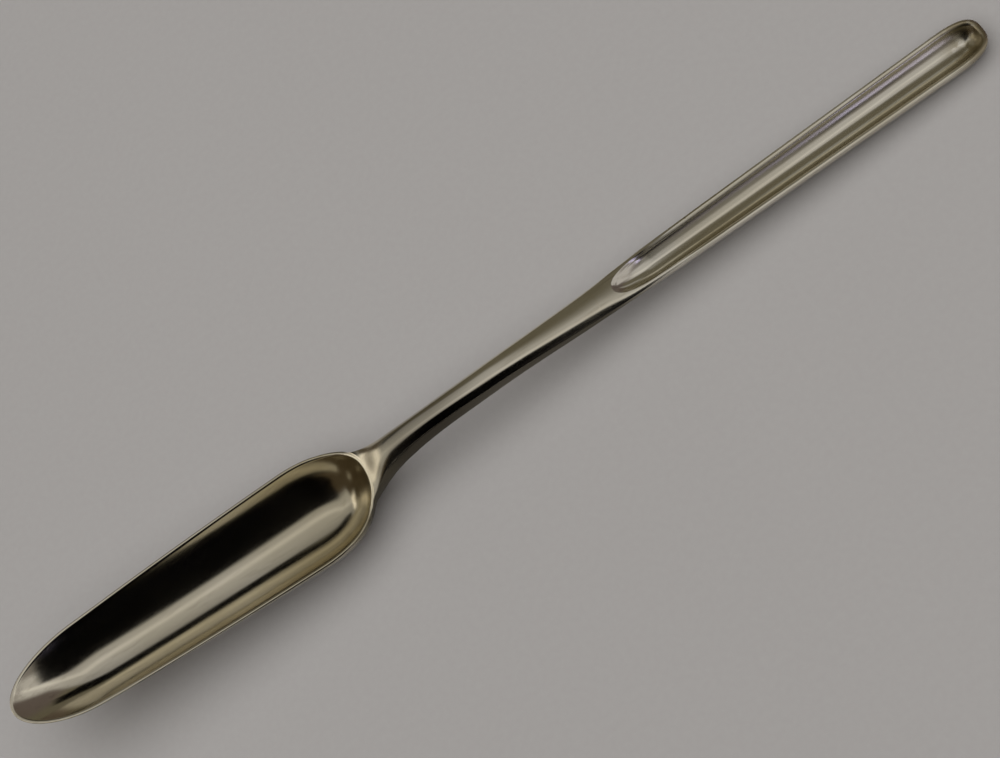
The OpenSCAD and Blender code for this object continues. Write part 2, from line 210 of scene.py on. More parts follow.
# Outlines of the cards that the silver mirrors
HOOD_CORNERS = (
    (-0.012, -0.046), (-0.012, -0.6), (-0.3, -0.6), (-0.3, -0.28), (-0.26, -0.22), (-0.18, -0.145),
    (-0.15, -0.06), (-0.12, -0.041),
)
BROW_CORNERS = ((0.015, -0.1), (0.015, -0.6), (-0.2, -0.6), (-0.2, -0.1))
FOLD_CORNERS = ((0.034, -0.02), (0.034, -0.2), (0.008, -0.2), (0.008, -0.02))
EAVE_CORNERS = ((0.046, 0.02), (0.09, 0.027), (0.12, 0.036), (0.12, 0.12), (0.046, 0.12))
STRIP_CORNERS = ((-0.125, 0.108), (-0.125, 0.19), (-0.07, 0.19), (-0.07, 0.108))
MAT_CORNERS = (
    (-0.1, -0.62), (-0.06, -0.03), (-0.024, -0.03), (-0.024, -0.008), (-0.02, -0.008), (-0.02, -0.62),
)
RUG_CORNERS = ((-0.02, -0.62), (-0.02, -0.008), (0.025, -0.008), (0.025, -0.62))
SIDE_CORNERS = ((0.28, -0.1), (0.28, -1.2), (0.75, -1.2), (0.75, 0.05))
PANE_CORNERS = ((0.55, -3.4), (0.72, -3.4), (1.12, -7.2), (0.85, -7.2))
SLOT_CORNERS = (
    (0.4, -2.1), (0.54, -2.1), (0.575, -2.95), (0.52, -3.9), (0.58, -5.65), (0.38, -9.5), (0.2, -9.5),
    (0.42, -5.65), (0.34, -3.9), (0.32, -2.85),
)
LAMP_CORNERS = ((0.05, -0.2), (0.05, -0.8), (0.11, -0.8), (0.125, -0.5), (0.14, -0.2))
BACK_CORNERS = ((0.08, 0.135), (0.08, 0.3), (0.2, 0.3), (0.2, 0.135))
SKIRT_CORNERS = ((-0.9, 0.02), (0.075, 0.02), (0.09, 0.2), (-0.9, 0.2))
HORIZON_CORNERS = ((0.15, 0), (0.5, 0), (0.5, 0.12), (0.15, 0.12))
WINDOW_CORNERS = ((0.32, 0.37), (0.6, 0.37), (0.6, 0.6), (0.32, 0.6))

# Colours of the cards
BLACK = (0, 0, 0, 1)
EAVE_TINT = (1, 0.9, 0.66, 1)
RUG_TINT = (1, 0.92, 0.85, 1)
SIDE_TINT = (1, 0.96, 0.95, 1)
PANE_TINT = (0.72, 0.68, 1, 1)
LAMP_TINT = (1, 0.95, 0.86, 1)
BACK_TINT = (1, 0.97, 0.88, 1)
WINDOW_TINT = (1, 0.94, 0.86, 1)

# Each card: the axis that it faces, its place there, the softness of its edge, its light, colour and outline
CARDS = {
    "Hood": ("z", 0.2, 0.02, 0, BLACK, HOOD_CORNERS),
    "Brow": ("z", 0.38, 0.03, 0, BLACK, BROW_CORNERS),
    "Fold": ("z", 0.1, 0.008, 0, BLACK, FOLD_CORNERS),
    "Eave": ("z", 0.1, 0.008, 0.125, EAVE_TINT, EAVE_CORNERS),
    "Strip": ("z", 0.1, 0.012, 0, BLACK, STRIP_CORNERS),
    "Mat": ("z", 0.0003, 0.02, 0, BLACK, MAT_CORNERS),
    "Rug": ("z", 0.0004, 0.02, 0.06, RUG_TINT, RUG_CORNERS),
    "Side": ("z", 0.4, 0.07, 0.46, SIDE_TINT, SIDE_CORNERS),
    "Pane": ("z", 2, 0.08, 1.5, PANE_TINT, PANE_CORNERS),
    "Slot": ("z", 1.95, 0.08, 0, BLACK, SLOT_CORNERS),
    "Lamp": ("z", 0.41, 0.03, 0.21, LAMP_TINT, LAMP_CORNERS),
    "Back": ("z", 0.1, 0.015, 0.26, BACK_TINT, BACK_CORNERS),
    "Skirt": ("y", -0.6, 0.02, 0, BLACK, SKIRT_CORNERS),
    "Horizon": ("y", -1.2, 0.02, 0.28, LAMP_TINT, HORIZON_CORNERS),
    "Window": ("x", -0.8, 0.2, 1.1, WINDOW_TINT, WINDOW_CORNERS),
}

# Colours of the metal and of the floor
SILVER_TINT = (0.79, 0.74, 0.61, 1)
SATIN_TINT = (0.82, 0.79, 0.7, 1)
TARNISH_TINT = (0.69, 0.635, 0.48, 1)
LINE_TINT = (0.55, 0.5, 0.39, 1)
BEIGE_TINT = (0.58, 0.52, 0.36, 1)
OLIVE_TINT = (0.34, 0.28, 0.15, 1)
# Painted shade: the dark colour blended onto the shank just behind the heel
PAINTED_SHADE_TINT = (0.36, 0.33, 0.26, 1)
PIT_TINT = (0.2, 0.17, 0.13, 1)
SOLDER_TINT = (0.79, 0.73, 0.6, 1)
FLOOR_TINT = (0.345, 0.334, 0.327, 1)
FLOOR_SHADE = (0.308, 0.296, 0.289, 1)

# Wear along the tool, and a band of painted shade, in metres from its middle
HEEL_WEAR = (-0.066, -0.045, -0.035, -0.027)
WALL_WEAR = (-0.042, -0.038, -0.034, -0.027)
NECK_WEAR = (-0.034, -0.027, -0.022, -0.012)
# Painted shade: a band on the shank just behind the heel, blended towards the dark tint
NECK_PAINTED_SHADE = (-0.026, -0.019, -0.012, 0.004)
SATIN_START = (-0.02, 0.06)
OLIVE_START = (0.103, 0.1115)

# Patterns: features in a metre, how they stretch, and the part of the noise over which they fade in
CLOUD_GRAIN = 110
CLOUD_STRETCH = (0.3, 1, 1)
CLOUD_FADE = (0.35, 0.7)
STREAK_GRAIN = 2200
STREAK_STRETCH = (0.03, 1, 1)
LINE_GRAIN = 1100
LINE_STRETCH = (0.02, 1, 1)
LINE_FADE = (0.52, 0.7)
STAIN_GRAIN = 210
STAIN_FADE = (0.5, 0.68)
OLIVE_GRAIN = 380
OLIVE_FADE = (0.25, 0.5)
DENT_GRAIN = 240
PIT_GRAIN = 240
PIT_CHANCE = (0.8, 1)
PIT_WIDEST = 0.07
PIT_EDGE = (0, 0.04)
SOLDER_GRAIN = 300
FLOOR_GRAIN = 700
FLOOR_DETAIL = 4
FLOOR_CLOUD_GRAIN = 5

# How strongly each kind of wear, and the painted shade, tints the silver
CLOUD_TINGE = 0.6
LINE_TINGE = 0.32
HEEL_TINGE = 0.6
STAIN_TINGE = 0.45
NECK_TINGE = 0.6
# Painted shade on the shank just behind the heel
PAINTED_SHADE_TINGE = 0.7
OLIVE_TINGE = 0.8
PIT_TINGE = 1

# Roughness of the polish, what each kind of wear adds to it, and the floor's
POLISH = 0.09
CLOUD_ROUGH = 0.04
STREAK_ROUGH = 0.05
SATIN_ROUGH = 0.04
WALL_ROUGH = 0.05
NECK_ROUGH = 0.1
OLIVE_ROUGH = 0.12
SOLDER_ROUGH = 0.11
FLOOR_ROUGH = 0.75
FLOOR_GRAIN_ROUGH = 0.2

# Relief: the share of each pattern, and the strength and the depth in metres of the whole
STREAK_RELIEF = 0.22
PIT_RELIEF = -1
DENT_RELIEF = 0.3
METAL_RELIEF = (0.12, 0.00003)
FLOOR_RELIEF = (0.05, 0.0001)


def ease(t):
    return t * t * (3 - 2 * t)


def clip(t):
    return np.clip(t, 0, 1)


def mix(a, b, t):
    return a + (b - a) * t


def signed_pow(v, power):
    return np.sign(v) * np.abs(v) ** power


def points(x, y, z):
    return np.stack(np.broadcast_arrays(x, y, z), -1)


def rounding(distance, run, power):
    """Share of the full width at a distance from an end that rounds in."""
    return (1 - clip(1 - distance / run) ** power) ** (1 / power)


def along(stations, x):
    """Smooth curve through (place, size) stations."""
    at, size = np.array(stations, float).T
    last = len(at) - 1
    before, after = np.maximum(np.arange(last + 1) - 1, 0), np.minimum(np.arange(last + 1) + 1, last)
    slope = (size[after] - size[before]) / (at[after] - at[before])
    i = np.clip(np.searchsorted(at, x, side="right") - 1, 0, last - 1)
    run = at[i + 1] - at[i]
    t = (x - at[i]) / run
    bend = (1 - t) * slope[i] - t * slope[i + 1]
    return mix(size[i], size[i + 1], ease(t)) + run * t * (1 - t) * bend


def cubic(a, b, c, d, t):
    return (1 - t) ** 3 * a + 3 * (1 - t) ** 2 * t * b + 3 * (1 - t) * t * t * c + t**3 * d


def wall_arc(s, lean):
    """Arc from a rim, at s = 0, to a floor, at s = 1, as shares of the reach and of the depth."""
    turn = mix(lean, math.pi / 2, s)
    return np.cos(turn) / np.cos(lean), (np.sin(turn) - np.sin(lean)) / (1 - np.sin(lean))


def bar_arc(s):
    turn = s * math.pi / 2
    return np.abs(np.cos(turn)) ** (2 / BAR_POWER), np.abs(np.sin(turn)) ** (2 / BAR_POWER)


def keel_share(turn):
    """Share of a hollow's keel that a turn round its rim looks in to."""
    return ease((1 - np.cos(turn)) / 2)


# The bowl: turn runs round the rim, from the tip at 0 to the heel at pi


def rim_z(x):
    tip = np.maximum(1 - x / TIP_RISE_RUN, 0) ** 2
    heel = np.maximum(1 - (BOWL_LEN - x) / HEEL_RISE_RUN, 0) ** 2
    return TIP_RISE * tip + HEEL_RISE * heel


def bowl_half(x):
    sides = mix(BOWL_TIP_W, BOWL_HEEL_W, 1 - (1 - x / BOWL_LEN) ** 2) / 2
    return sides * rounding(x, TIP_ROUND, TIP_POWER) * rounding(BOWL_LEN - x, HEEL_ROUND, HEEL_POWER)


def bowl_plan(turn):
    x = BOWL_LEN * (1 - np.cos(turn)) / 2
    return x, np.sign(np.sin(turn)) * bowl_half(x)


def bowl_offset(turn, out):
    """The rim's outline, moved outwards."""
    x, y = bowl_plan(turn)
    ahead, behind = bowl_plan(turn + RIM_NUDGE), bowl_plan(turn - RIM_NUDGE)
    dx, dy = ahead[0] - behind[0], ahead[1] - behind[1]
    length = np.hypot(dx, dy)
    return x - out * dy / length, y + out * dx / length


def bowl_back_z(x):
    to_tip = np.maximum(KEEL_END - x, 0) / (KEEL_END - KEEL_START)
    return -mix(BOWL_DEPTH, BOWL_TIP_DEPTH, to_tip**2)


def bowl_skin(turn, s, out, lower, tip_lean, heel_lean):
    rim_x, rim_y = bowl_offset(turn, out)
    lean = mix(tip_lean, heel_lean, ease(clip(bowl_plan(turn)[0] / LEAN_RUN)))
    reach, depth = wall_arc(s, lean)
    x = mix(mix(KEEL_START, KEEL_END, keel_share(turn)), rim_x, reach)
    return points(x, rim_y * reach, mix(rim_z(rim_x), bowl_back_z(x) - lower, depth))


def bowl_inner(turn, s):
    return bowl_skin(turn, s, -BOWL_RIM, -BOWL_WALL, TIP_LEAN, HEEL_LEAN)


def bowl_outer(turn, s, grow=0):
    return bowl_skin(turn, s, grow, grow, TIP_BACK_LEAN, HEEL_BACK_LEAN)


# Turn and wall share at which the saddle has its width and its depth
SADDLE_SHARE = 1 - (1 - (SADDLE_W / BOWL_HEEL_W) ** HEEL_POWER) ** (1 / HEEL_POWER)
SADDLE_TURN = math.acos(1 - 2 * HEEL_ROUND * SADDLE_SHARE / BOWL_LEN)
SADDLE_SINE = mix(math.sin(HEEL_BACK_LEAN), 1, SADDLE_DEPTH / (BOWL_DEPTH + HEEL_RISE))
SADDLE_WALL = (math.asin(SADDLE_SINE) - HEEL_BACK_LEAN) / (math.pi / 2 - HEEL_BACK_LEAN)


def saddle_level(turn):
    """1 where the rim's outer edge runs on level into the shank, and 0 where it rounds down."""
    return 1 - ease(clip(np.abs(turn - math.pi) / SADDLE_TURN - 1))


def bowl_rim(turn, t):
    """The rounded rim, from the inner wall at t = 0 to the outer wall at t = 1."""
    level = saddle_level(turn)[..., None]
    inner_edge, outer_edge = bowl_inner(turn, 0), bowl_outer(turn, 0)
    first = bowl_inner(turn, RIM_SHARE)
    last = bowl_outer(turn, RIM_SHARE * (1 - level[..., 0]))
    rise = first + RIM_PULL * (inner_edge - first)
    fall = last + RIM_PULL * (outer_edge - last) + level * (inner_edge - outer_edge) / 3
    return cubic(first, rise, fall, last, t)


# The shank

HEEL_TOP = rim_z(BOWL_LEN)
PLACES = (BOWL_LEN, THROAT_X, WAIST_X, JOINT_X, FULL_X, END_X)
TOPS = tuple(zip(PLACES, (HEEL_TOP, THROAT_TOP, WAIST_TOP, JOINT_TOP, FULL_TOP, END_TOP)))
HEIGHTS = (SADDLE_DEPTH, THROAT_H, WAIST_H, JOINT_H, FULL_H, END_H)
BOTTOMS = tuple((x, top - height) for (x, top), height in zip(TOPS, HEIGHTS))
WIDTHS = tuple(zip(PLACES, (SADDLE_W, THROAT_W, WAIST_W, JOINT_W, FULL_W, END_W)))
CROWN_SIZES = (SADDLE_DEPTH / 2, THROAT_H / 2, WAIST_H / 2, JOINT_H * JOINT_CROWN, RIM_DROP, RIM_DROP)
CROWNS = tuple(zip(PLACES, CROWN_SIZES))


def slanted(p):
    """Shears a place along the shank, so that the scarf is cut on a slope."""
    x, y, z = np.moveaxis(p, -1, 0)
    share = np.maximum(1 - ((x - JOINT_X) / SCARF_RUN) ** 2, 0) ** 2
    return points(x + SCARF * (z - (JOINT_TOP - JOINT_H / 2)) * share, y, z)


def bar_plain(x, angle):
    top = along(TOPS, x)
    widest = top - along(CROWNS, x)
    rise = np.where(np.sin(angle) > 0, top - widest, widest - along(BOTTOMS, x))
    y = along(WIDTHS, x) / 2 * signed_pow(np.cos(angle), 2 / BAR_POWER)
    return points(x, y, widest + rise * signed_pow(np.sin(angle), 2 / BAR_POWER))


def bar_point(x, angle):
    return slanted(bar_plain(x, angle))


def ring_angles():
    """The shank's ring, from the top of its +Y side, over the top, down, under and up again."""
    across, down = np.arange(2 * NECK_STEPS) / (2 * NECK_STEPS), np.arange(SADDLE_STEPS) / SADDLE_STEPS
    return np.concatenate([
        mix(TOP_CORNER, math.pi - TOP_CORNER, across),
        mix(math.pi - TOP_CORNER, math.pi + LOW_CORNER, down),
        mix(math.pi + LOW_CORNER, 2 * math.pi - LOW_CORNER, across),
        mix(2 * math.pi - LOW_CORNER, 2 * math.pi + TOP_CORNER, down),
    ])


def saddle_ring():
    """The same ring on the bowl's heel, as turns and wall shares."""
    across, down = np.arange(2 * NECK_STEPS) / NECK_STEPS - 1, np.arange(SADDLE_STEPS) / SADDLE_STEPS
    turns = np.concatenate([across, np.ones(SADDLE_STEPS), -across, -np.ones(SADDLE_STEPS)])
    walls = np.concatenate([np.zeros(2 * NECK_STEPS), down, np.ones(2 * NECK_STEPS), 1 - down])
    return math.pi + SADDLE_TURN * turns, SADDLE_WALL * walls


def neck_ring(t):
    """Fillet from the bowl's heel to the throat: it leaves along the heel and arrives along the shank."""
    angle = ring_angles()
    turn, wall = saddle_ring()
    start = bowl_outer(turn, wall)
    end = bar_point(np.full_like(angle, THROAT_X), angle)
    per_mm = bar_point(np.full_like(angle, THROAT_X + 1), angle) - end
    arrive = end - per_mm * THROAT_AT / 2
    lead = mix(SIDE_LEAD, TOP_LEAD, clip(np.sin(angle))) * (arrive[:, 0] - start[:, 0])
    corner = np.abs(turn - math.pi) / SADDLE_TURN
    climb = RIM_SLOPE * (1 - CORNER_FALL * corner**2) * (1 - wall / SADDLE_WALL)
    leave = bowl_outer(mix(turn, math.pi, GATHER), wall * (1 - GATHER))
    leave = leave + lead[:, None] * points(1, 0, climb)
    return cubic(start, leave, arrive, end, t)


# The narrow scoop: columns run from the scarf to the end and back, and a cap closes the scarf

SIDE_COLUMNS = 2 * NARROW_STEPS + 1
COLUMNS = np.arange(2 * NARROW_STEPS + CAP_STEPS)
ON_SIDE = COLUMNS < SIDE_COLUMNS
SIDE_TURNS = np.where(ON_SIDE, math.pi * COLUMNS / NARROW_STEPS, 0)
CAP_SHARES = np.where(ON_SIDE, 0, (COLUMNS - 2 * NARROW_STEPS) / CAP_STEPS)


def narrow_edge():
    x = mix(NARROW_X, END_X, (1 - np.cos(SIDE_TURNS)) / 2)
    side = np.where(COLUMNS <= NARROW_STEPS, 1, -1)
    half = along(WIDTHS, x) / 2 * rounding(END_X - x, END_ROUND, END_POWER)
    sides = points(x, side * half, along(TOPS, x) - along(CROWNS, x))
    cap = bar_plain(np.full_like(x, NARROW_X), math.pi * (1 - CAP_SHARES))
    return np.where(ON_SIDE[:, None], sides, cap)


def top_height(x, y):
    across = np.abs(y) / (along(WIDTHS, x) / 2)
    to_end = np.maximum(1 - (END_X - x) / END_ROUND, 0)
    share = np.minimum((across**END_POWER + to_end**END_POWER) ** (1 / END_POWER), 1)
    return along(TOPS, x) - along(CROWNS, x) * (1 - (1 - share**BAR_POWER) ** (1 / BAR_POWER))


def channel_turns():
    """Turns round the channel's rim: square across from the outer edge, but ahead of it by the scarf."""
    x = narrow_edge()[:, 0]
    first = mix(ROOT_X, END_INNER_X, (1 - math.cos(CAP_TURN)) / 2)
    ahead = x + (first - NARROW_X) * clip(1 - (x - NARROW_X) / LEAD_RUN) ** 2
    round_end = END_INNER_X - (END_X - x) * (END_ROUND - NARROW_RIM) / END_ROUND
    rim_x = np.where(x < END_X - END_ROUND, ahead, round_end)
    turn = 2 * np.arcsin(np.sqrt(clip((rim_x - ROOT_X) / (END_INNER_X - ROOT_X))))
    sides = np.where(COLUMNS <= NARROW_STEPS, turn, 2 * math.pi - turn)
    cap = mix(-CAP_TURN, CAP_TURN, CAP_SHARES)
    return np.where(ON_SIDE, sides, cap)


def channel_skin(turn, s):
    rim_x = mix(ROOT_X, END_INNER_X, (1 - np.cos(turn)) / 2)
    half = along(WIDTHS, rim_x) / 2 - NARROW_RIM
    half = half * rounding(rim_x - ROOT_X, FULL_AT - ROOT_AT, ROOT_POWER)
    half = half * rounding(END_INNER_X - rim_x, END_ROUND - NARROW_RIM, END_POWER)
    rim_y = np.sign(np.sin(turn)) * half
    lean = mix(ROOT_LEAN, CHANNEL_LEAN, ease(clip((rim_x - ROOT_X) / ROOT_RUN)))
    lean = lean + (END_LEAN - CHANNEL_LEAN) * (1 - ease(clip((END_INNER_X - rim_x) / END_ROUND)))
    reach, depth = wall_arc(s, lean)
    x = mix(mix(ROOT_X + ROOT_RUN, END_INNER_X - END_RUN, keel_share(turn)), rim_x, reach)
    floor = along(BOTTOMS, x) + NARROW_WALL
    return points(x, rim_y * reach, mix(top_height(rim_x, rim_y), floor, depth))


def narrow_top(share):
    """The top between the channel and the edge, which turns down early where the channel is full."""
    outer = narrow_edge()
    p = channel_skin(channel_turns(), 0)
    p = p + (outer - p) * np.reshape(share, (-1, 1))
    full = ease(clip((p[:, 0] - ROOT_X) / (FULL_X - ROOT_X)))
    z = mix(top_height(p[:, 0], p[:, 1]), outer[:, 2], full * share**EDGE_POWER)
    return points(p[:, 0], p[:, 1], z)


EDGE_SHARE = EDGE_ROUND / np.linalg.norm(narrow_edge() - channel_skin(channel_turns(), 0), axis=1)


def narrow_round(t):
    """The rounded inner edge of the rim, from the wall at t = 0 to the top at t = 1."""
    wall, corner = channel_skin(channel_turns(), EDGE_WALL), channel_skin(channel_turns(), 0)
    corner = corner - points(0, 0, EDGE_DROP)
    flat = narrow_top(EDGE_SHARE)
    return (1 - t) ** 2 * wall + 2 * t * (1 - t) * corner + t * t * flat


def narrow_outer(s):
    edge = narrow_edge()
    reach, depth = bar_arc(s)
    x = mix(mix(NARROW_X, END_X - END_RUN, (1 - np.cos(SIDE_TURNS)) / 2), edge[:, 0], reach)
    return points(x, edge[:, 1] * reach, mix(edge[:, 2], along(BOTTOMS, x), depth))


# At rest: the pitch at which the bowl's back and the narrow scoop's back touch the table together

MOST_PITCH = math.radians(30)
HALVINGS = 40
BACK_START = 0.5
RIM_TURNS = np.arange(RIM_COLUMNS) * 2 * math.pi / RIM_COLUMNS
BOWL_BACK = np.concatenate([bowl_outer(RIM_TURNS, s) for s in np.linspace(BACK_START, 1, WALL_ROWS)])
NARROW_BACK = np.concatenate([slanted(narrow_outer(s)) for s in np.linspace(BACK_START, 1, SKIN_ROWS)])


def lowest(p, pitch):
    return (p[:, 2] * math.cos(pitch) - p[:, 0] * math.sin(pitch)).min()


def find_pitch():
    low, high = 0, MOST_PITCH
    for _ in range(HALVINGS):
        middle = (low + high) / 2
        if lowest(BOWL_BACK, middle) < lowest(NARROW_BACK, middle):
            low = middle
        else:
            high = middle
    return low


PITCH = find_pitch()
LIFT = -lowest(BOWL_BACK, PITCH)


def laid_x(p):
    return p[..., 0] * math.cos(PITCH) + p[..., 2] * math.sin(PITCH)


CENTRE_X = (laid_x(bowl_outer(0.0, 0)) + laid_x(narrow_edge()[NARROW_STEPS])) / 2


def laid(p):
    """Places in metres, lying on the table."""
    x, y, z = np.moveaxis(p, -1, 0)
    sine, cosine = math.sin(PITCH), math.cos(PITCH)
    return points(x * cosine + z * sine - CENTRE_X, y, z * cosine - x * sine + LIFT) * MM


# Meshes


def strips(rows, columns):
    """Quads between rings of points, where each ring closes on itself."""
    i = np.arange(columns)
    ahead = (i + 1) % columns
    quads = []
    for row in range(rows - 1):
        a, b = row * columns, (row + 1) * columns
        quads += np.stack([a + i, a + ahead, b + ahead, b + i], -1).tolist()
    return quads


def make_piece(name, node, material, p, faces):
    """A closed mesh that stands for one solid."""
    mesh = bpy.data.meshes.new(name)
    mesh.from_pydata(laid(p).tolist(), [], faces)
    work = bmesh.new()
    work.from_mesh(mesh)
    bmesh.ops.remove_doubles(work, verts=work.verts, dist=MERGE)
    bmesh.ops.dissolve_degenerate(work, edges=work.edges, dist=SLIVER)
    bmesh.ops.recalc_face_normals(work, faces=work.faces)
    if work.calc_volume(signed=True) < 0:
        bmesh.ops.reverse_faces(work, faces=work.faces)
    work.to_mesh(mesh)
    work.free()
    mesh.polygons.foreach_set("use_smooth", [True] * len(mesh.polygons))
    mesh.set_sharp_from_angle(angle=SMOOTH_ANGLE)
    mesh.materials.append(material)
    piece = bpy.data.objects.new(name, mesh)
    bpy.context.scene.collection.objects.link(piece)
    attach(piece, BODY)
    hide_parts(node)


def make_large_scoop(material):
    inner = [bowl_inner(RIM_TURNS, s) for s in np.linspace(1, RIM_SHARE, WALL_ROWS)]
    rim = [bowl_rim(RIM_TURNS, t) for t in np.linspace(0, 1, RIM_ROWS + 1)[1:]]
    start = RIM_SHARE * (1 - saddle_level(RIM_TURNS))
    outer = [bowl_outer(RIM_TURNS, mix(start, 1, t)) for t in np.linspace(0, 1, WALL_ROWS)[1:]]
    rings = inner + rim + outer
    faces = strips(len(rings), RIM_COLUMNS)
    make_piece("Large_scoop", "large_scoop", material, np.concatenate(rings), faces)


def heel_patch(grow):
    """The saddle's face on the bowl's heel, as rows of points."""
    turns = math.pi + SADDLE_TURN * (np.arange(2 * NECK_STEPS + 1) / NECK_STEPS - 1)
    walls = SADDLE_WALL * np.arange(SADDLE_STEPS + 1) / SADDLE_STEPS
    return np.concatenate([bowl_outer(turns, wall, grow) for wall in walls])


def patch_faces(first):
    """Quads of a heel patch whose points start at a number."""
    columns = 2 * NECK_STEPS + 1
    corners = [first + j * columns + i for j in range(SADDLE_STEPS) for i in range(columns - 1)]
    return [[a, a + 1, a + 1 + columns, a + columns] for a in corners]


def make_shank(material):
    neck = [neck_ring(t) for t in np.linspace(0, 1, NECK_ROWS)]
    places = np.linspace(THROAT_X, JOINT_X - SOLDER / 2, BAR_ROWS)[1:]
    bar = [bar_point(np.full_like(ring_angles(), x), ring_angles()) for x in places]
    turn, wall = saddle_ring()
    rings = [bowl_outer(turn, wall, SOLDER)] + neck + bar
    count = len(turn)
    end = (len(rings) - 1) * count
    faces = strips(len(rings), count) + [list(range(end, end + count))] + patch_faces(len(rings) * count)
    p = np.concatenate(rings + [heel_patch(SOLDER)])
    make_piece("Shank", "shank", material, p, faces)


def make_narrow_scoop(material):
    turns = channel_turns()
    channel = [channel_skin(turns, s) for s in np.linspace(1, EDGE_WALL, CHANNEL_ROWS)]
    edge = [narrow_round(t) for t in np.linspace(0, 1, EDGE_ROWS + 1)[1:]]
    top = [narrow_top(mix(EDGE_SHARE, 1, t * (2 - t))) for t in np.linspace(0, 1, TOP_ROWS + 1)[1:]]
    skin = [narrow_outer(s) for s in np.linspace(0, 1, SKIN_ROWS)[1:]]
    rings = [slanted(ring) for ring in channel + edge + top + skin]
    faces = strips(len(rings), len(COLUMNS))
    make_piece("Narrow_scoop", "narrow_scoop", material, np.concatenate(rings), faces)


def make_heel_solder(material):
    turn, wall = saddle_ring()
    rings = [bowl_outer(turn, wall, grow) for grow in (0, SOLDER)]
    count = len(turn)
    patches = [heel_patch(grow) for grow in (0, SOLDER)]
    base = 2 * count
    faces = strips(2, count) + patch_faces(base) + patch_faces(base + len(patches[0]))
    p = np.concatenate(rings + patches)
    make_piece("Heel_solder", "heel_solder", material, p, faces)


def make_scarf_solder(material):
    angles = ring_angles()
    rings = [bar_point(np.full_like(angles, x), angles) for x in (JOINT_X - SOLDER / 2, NARROW_X)]
    count = len(angles)
    caps = [list(range(count)), list(range(count, 2 * count))]
    faces = strips(2, count) + caps
    make_piece("Scarf_solder", "scarf_solder", material, np.concatenate(rings), faces)


# Materials


def new_material(name):
    material = bpy.data.materials.new(name)
    material.use_nodes = True
    tree = material.node_tree
    return material, tree, tree.nodes["Principled BSDF"]


def add(tree, kind, **values):
    """A node: a name that starts with _ is a setting, and any other is an input, as a value or a socket."""
    node = tree.nodes.new(kind)
    for name, value in values.items():
        if name.startswith("_"):
            setattr(node, name[1:], value)
    for name, value in values.items():
        if name.startswith("_"):
            continue
        socket = node.inputs[int(name[1:])] if name[1:].isdigit() else node.inputs[name.replace("_", " ")]
        if isinstance(value, bpy.types.NodeSocket):
            tree.links.new(value, socket)
        else:
            socket.default_value = value
    return node


def math_of(tree, operation, a, b=0, c=0):
    return add(tree, "ShaderNodeMath", _operation=operation, i0=a, i1=b, i2=c).outputs[0]


def fade(tree, value, start, end):
    """0 at start and 1 at end, smoothly, where either may be the larger."""
    low, high = min(start, end), max(start, end)
    sizes = {"From_Min": low, "From_Max": high, "To_Min": float(start > end), "To_Max": float(start < end)}
    return add(tree, "ShaderNodeMapRange", _interpolation_type="SMOOTHSTEP", Value=value, **sizes).outputs[0]


def both(tree, a, b):
    return math_of(tree, "MULTIPLY", a, b)


def blend(tree, share, a, b):
    """Colour a where the share is 0 and colour b where it is 1."""
    node = add(tree, "ShaderNodeMix", _data_type="RGBA", i0=share, i6=a, i7=b)
    return node.outputs[2]


def place(tree):
    """The place in the table's frame, in metres: as a vector, and its x and y."""
    where = add(tree, "ShaderNodeTexCoord").outputs["Object"]
    parts = add(tree, "ShaderNodeSeparateXYZ", Vector=where).outputs
    return where, parts["X"], parts["Y"]


def noise(tree, where, scale, stretch=(1, 1, 1), detail=3):
    spot = add(tree, "ShaderNodeVectorMath", _operation="MULTIPLY", i0=where, i1=stretch).outputs[0]
    return add(tree, "ShaderNodeTexNoise", Vector=spot, Scale=scale, Detail=detail).outputs["Fac"]


def between(tree, value, places):
    """0 outside the first and last place, and 1 between the middle two."""
    start, full, late, end = places
    return both(tree, fade(tree, value, start, full), fade(tree, value, end, late))


def total(tree, *shares):
    """A number, and then the sum of the products of (size, share)."""
    result = shares[0]
    for size, value in shares[1:]:
        result = math_of(tree, "MULTIPLY_ADD", value, size, result)
    return result


def streaks(tree, where):
    return noise(tree, where, STREAK_GRAIN, STREAK_STRETCH, detail=0)


def pits(tree, where):
    """1 in scattered specks, which are of different sizes."""
    cells = add(tree, "ShaderNodeTexVoronoi", Vector=where, Scale=PIT_GRAIN)
    chance = add(tree, "ShaderNodeSeparateColor", Color=cells.outputs["Color"]).outputs["Red"]
    size = math_of(tree, "MULTIPLY", fade(tree, chance, *PIT_CHANCE), PIT_WIDEST)
    depth = math_of(tree, "SUBTRACT", size, cells.outputs["Distance"])
    return fade(tree, depth, *PIT_EDGE)


def raise_relief(tree, shader, height, relief):
    strength, depth = relief
    bump = add(tree, "ShaderNodeBump", Strength=strength, Distance=depth, Height=height)
    tree.links.new(bump.outputs[0], shader.inputs["Normal"])


